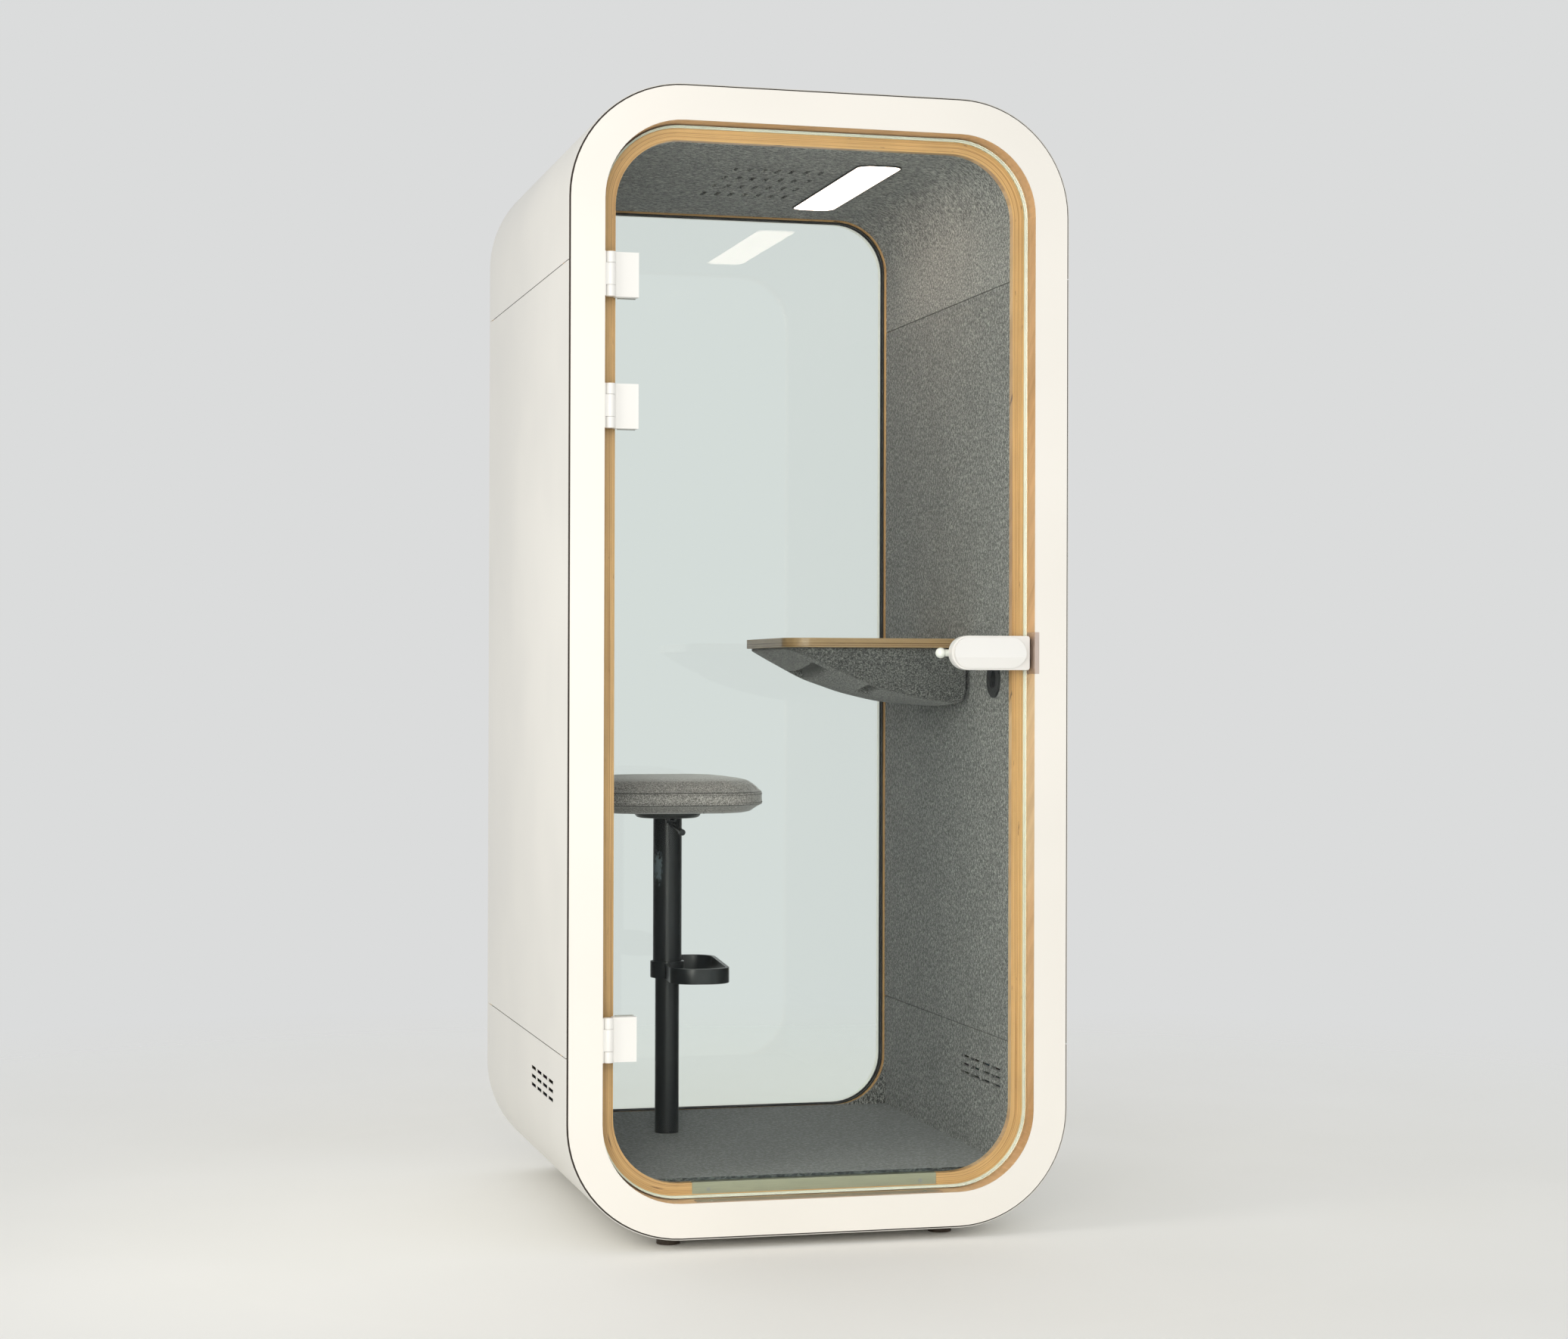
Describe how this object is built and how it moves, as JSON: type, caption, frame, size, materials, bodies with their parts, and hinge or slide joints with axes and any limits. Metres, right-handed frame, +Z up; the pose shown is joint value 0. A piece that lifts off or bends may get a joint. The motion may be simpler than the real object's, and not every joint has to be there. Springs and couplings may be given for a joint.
{
  "type": "phone booth",
  "caption": "One-person acoustic phone booth with a hinged glass door, wall table, ceiling light and height-adjustable stool.",
  "frame": {"origin": "on the floor, under the middle of the cabin's footprint", "axes": "+Z up, the glass door faces -Y, +X is on the right of someone who faces the door from outside"},
  "size_m": [1, 1, 2.225],
  "materials": {
    "tan_ply": "edge-on birch plywood, clear oil",
    "honey_ply": "edge-on plywood, warm clear lacquer",
    "white_laminate": "smooth matt laminate",
    "white_steel": "satin powder coat",
    "white_fitting": "smooth satin coat",
    "clear_seal": "translucent silicone",
    "brushed": "brushed",
    "core": "unfinished panel core",
    "felt": "pressed recycled felt, heathered",
    "carpet": "fine ribbed needle felt",
    "floor_ply": "raw plywood",
    "glass": "clear laminated safety glass",
    "black_rubber": "matt",
    "dark_metal": "satin",
    "diffuser": "opal, lit",
    "black_plastic": "fine texture",
    "table_ply": "clear lacquered plywood",
    "stool_black": "satin powder coat, worn in places",
    "gas_steel": "polished",
    "bush_plastic": "turned nylon",
    "seat_fabric": "warm grey heathered wool"
  },
  "bodies": {
    "cabin": {"front_ring": "tan_ply", "ring_face": "white_laminate", "inner_frame": "honey_ply", "door_seal": "clear_seal", "strike_plate": "brushed", "threshold_inner": "brushed", "threshold_outer": "brushed", "threshold_screws": "brushed", "roof_skin": "white_steel", "left_skin": "white_steel", "right_skin": "white_steel", "base_pan": "white_steel", "left_core": "core", "right_core": "core", "roof_core": "core", "base_core": "core", "lining_top": "felt", "lining_left": "felt", "lining_right": "felt", "lining_left_low": "felt", "lining_right_low": "felt", "rear_corner_felt": "felt", "floor_board": "floor_ply", "carpet": "carpet", "rear_frame": "honey_ply", "rear_gasket": "black_rubber", "rear_glass": "glass", "rear_bead": "white_laminate", "light_housing": "dark_metal", "light_diffuser": "diffuser", "fan_frames": "black_plastic", "outlet_plate": "black_plastic", "outlet_socket": "black_plastic", "table_top": "table_ply", "table_tray": "felt", "table_bracket": "dark_metal", "stool_column": "stool_black", "gas_cylinder": "dark_metal", "hinge_frame_leaves": "white_fitting", "hinge_pins": "brushed", "levelling_feet": "black_rubber"},
    "sleeve": {"stool_sleeve": "stool_black", "stool_bushes": "bush_plastic", "footrest": "stool_black", "gas_rod": "gas_steel"},
    "seat": {"seat_plate": "stool_black", "seat_board": "floor_ply", "seat_cushion": "seat_fabric"},
    "release_lever": {"seat_lever": "stool_black"},
    "door": {"door_glass": "glass", "hinge_glass_leaves": "white_fitting", "hinge_clamps": "white_fitting", "handle_outer": "white_fitting", "handle_inner": "white_fitting", "latch_case": "brushed"},
    "handles": {"lever_outer": "white_fitting", "lever_inner": "white_fitting"},
    "bolt": {"latch_bolt": "brushed"},
    "front_fan": {"fan_impeller_front": "black_plastic"},
    "rear_fan": {"fan_impeller_rear": "black_plastic"}
  },
  "joints": [
    {"name": "door_swing", "type": "hinge", "parent": "cabin", "child": "door", "pos_m": [-0.417, -0.488, 1], "axis": [0, 0, -1], "range_deg": [0, 110]},
    {"name": "handle_turn", "type": "hinge", "parent": "door", "child": "handles", "pos_m": [0.384, -0.45, 1.142], "axis": [0, -1, 0], "range_deg": [0, 35], "stiffness_Nm_per_rad": 1.2, "springref_deg": -20.05},
    {"name": "bolt_slide", "type": "slide", "parent": "door", "child": "bolt", "axis": [-1, 0, 0], "range_m": [0, 0.008]},
    {"name": "seat_height", "type": "slide", "parent": "cabin", "child": "sleeve", "axis": [0, 0, 1], "range_m": [-0.12, 0.08]},
    {"name": "seat_swivel", "type": "hinge", "parent": "sleeve", "child": "seat", "pos_m": [-0.17, 0.14, 0.811], "axis": [0, 0, 1], "continuous": true},
    {"name": "release_lever_lift", "type": "hinge", "parent": "seat", "child": "release_lever", "pos_m": [-0.17, 0.0995, 0.79], "axis": [-1, 0, 0], "range_deg": [0, 8], "stiffness_Nm_per_rad": 0.6, "springref_deg": -28.65},
    {"name": "front_fan_spin", "type": "hinge", "parent": "cabin", "child": "front_fan", "pos_m": [0, -0.071, 2.152], "axis": [0, 0, 1], "continuous": true},
    {"name": "rear_fan_spin", "type": "hinge", "parent": "cabin", "child": "rear_fan", "pos_m": [0, 0.109, 2.152], "axis": [0, 0, 1], "continuous": true}
  ],
  "couplings": [
    {"joint": "bolt_slide", "follows": "handle_turn", "m_per_rad": 0.013083}
  ]
}
